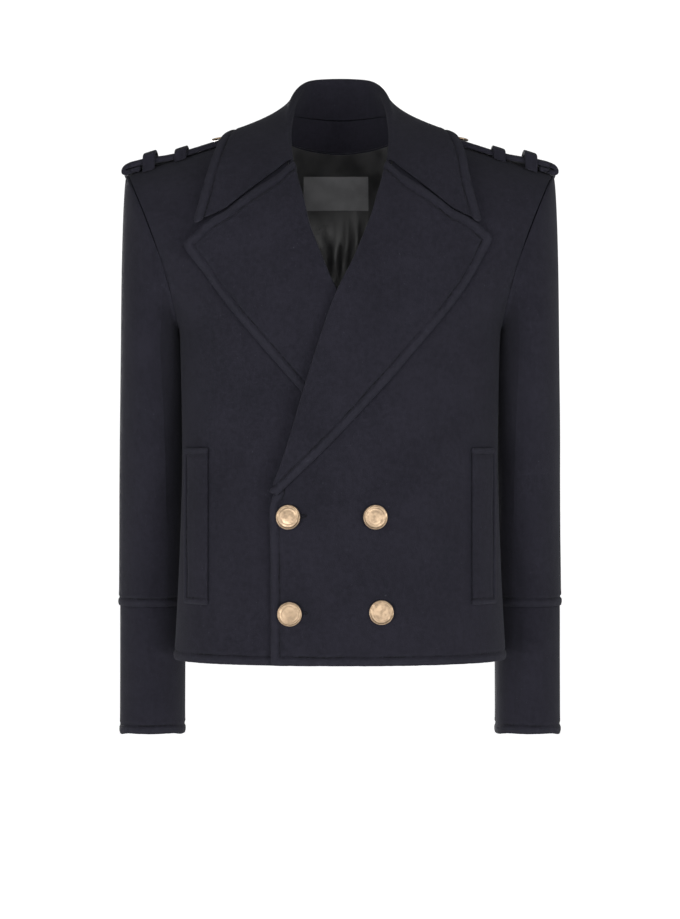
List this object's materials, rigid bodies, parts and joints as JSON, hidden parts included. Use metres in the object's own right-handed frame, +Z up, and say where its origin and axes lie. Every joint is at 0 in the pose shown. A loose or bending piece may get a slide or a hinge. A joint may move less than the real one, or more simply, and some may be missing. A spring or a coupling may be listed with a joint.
{
  "type": "reefer jacket",
  "caption": "Double-breasted reefer jacket in heavy dark wool with broad collar and lapels, shoulder straps, welt pockets and gold buttons, filled out as worn.",
  "frame": {"origin": "middle of the neck at the height of the shoulder seams, where the wearer's shoulders carry the jacket", "axes": "+X towards the wearer's left side, -Y the way the front faces, +Z up"},
  "size_m": [0.5344, 0.2504, 0.79],
  "materials": {
    "wool": "matte felted wool, dark navy",
    "lining": "black satin",
    "label": "dark woven patch, bare",
    "button_metal": "satin pale gold"
  },
  "bodies": {
    "root": {"front_left": "wool", "front_right": "wool", "back": "wool", "lapel_left": "wool", "lapel_right": "wool", "collar_stand": "wool", "collar_fall": "wool", "sleeve_top_left": "wool", "sleeve_under_left": "wool", "sleeve_top_right": "wool", "sleeve_under_right": "wool", "cuff_left": "wool", "cuff_right": "wool", "welt_left": "wool", "welt_right": "wool", "epaulette_left": "wool", "epaulette_right": "wool", "strap_loop_left_inner": "wool", "strap_loop_left_outer": "wool", "strap_loop_right_inner": "wool", "strap_loop_right_outer": "wool", "back_lining": "lining", "label": "label", "button_1": "button_metal", "button_2": "button_metal", "button_3": "button_metal", "button_4": "button_metal", "strap_button_left": "button_metal", "strap_button_right": "button_metal"}
  },
  "joints": []
}
